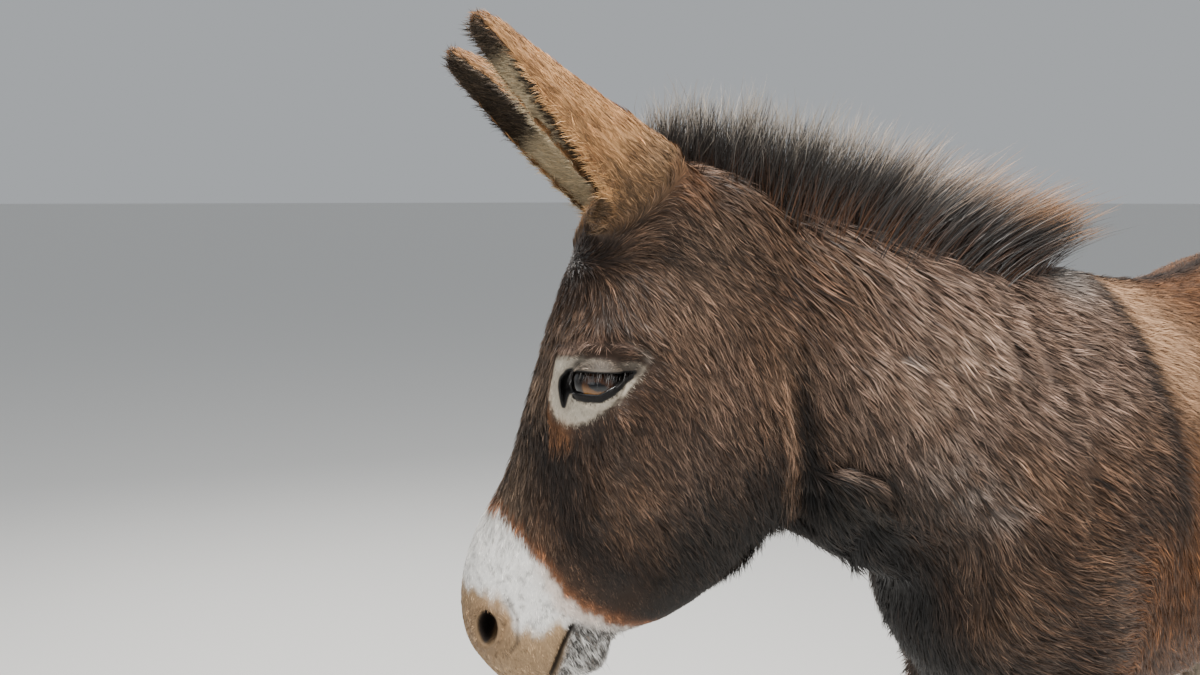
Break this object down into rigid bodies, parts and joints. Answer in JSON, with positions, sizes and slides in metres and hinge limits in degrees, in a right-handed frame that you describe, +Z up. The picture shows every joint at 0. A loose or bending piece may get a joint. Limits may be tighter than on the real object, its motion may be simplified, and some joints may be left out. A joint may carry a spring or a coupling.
{
  "type": "donkey",
  "caption": "Life-size still model of a donkey standing square and looking round to its right, with long ears, an upright mane, a pale muzzle and a hanging tail",
  "frame": {"origin": "the middle of the donkey's bounding box in plan, on the ground under its hooves", "axes": "+X along the trunk towards the chest, +Y to the donkey's left, +Z up"},
  "size_m": [1.4646, 0.4972, 1.2072],
  "materials": {
    "coat": "dark brown hair coat, lying flat",
    "rump_coat": "rusty brown hair coat, lying flat",
    "leg_coat": "short grey-brown hair",
    "muzzle_skin": "very short pale hair over soft skin",
    "ear_coat": "orange-brown hair outside, cream hair inside",
    "long_hair": "coarse charcoal hair with pale tips",
    "horn": "dull hoof horn",
    "eye": "wet, clear cornea over a dark brown iris"
  },
  "bodies": {
    "root": {"chest": "coat", "ear_left": "ear_coat", "ear_right": "ear_coat", "eye_left": "eye", "eye_right": "eye", "fore_cannon_left": "leg_coat", "fore_cannon_right": "leg_coat", "fore_hoof_left": "horn", "fore_hoof_right": "horn", "fore_pastern_left": "leg_coat", "fore_pastern_right": "leg_coat", "forearm_left": "coat", "forearm_right": "coat", "gaskin_left": "rump_coat", "gaskin_right": "rump_coat", "head": "coat", "hind_cannon_left": "leg_coat", "hind_cannon_right": "leg_coat", "hind_hoof_left": "horn", "hind_hoof_right": "horn", "hind_pastern_left": "leg_coat", "hind_pastern_right": "leg_coat", "hock_left": "leg_coat", "hock_right": "leg_coat", "loin_and_croup": "rump_coat", "lower_lip": "muzzle_skin", "mane": "long_hair", "muzzle": "muzzle_skin", "neck": "coat", "tail": "rump_coat", "tail_brush": "long_hair", "thigh_left": "rump_coat", "thigh_right": "rump_coat"}
  },
  "joints": []
}
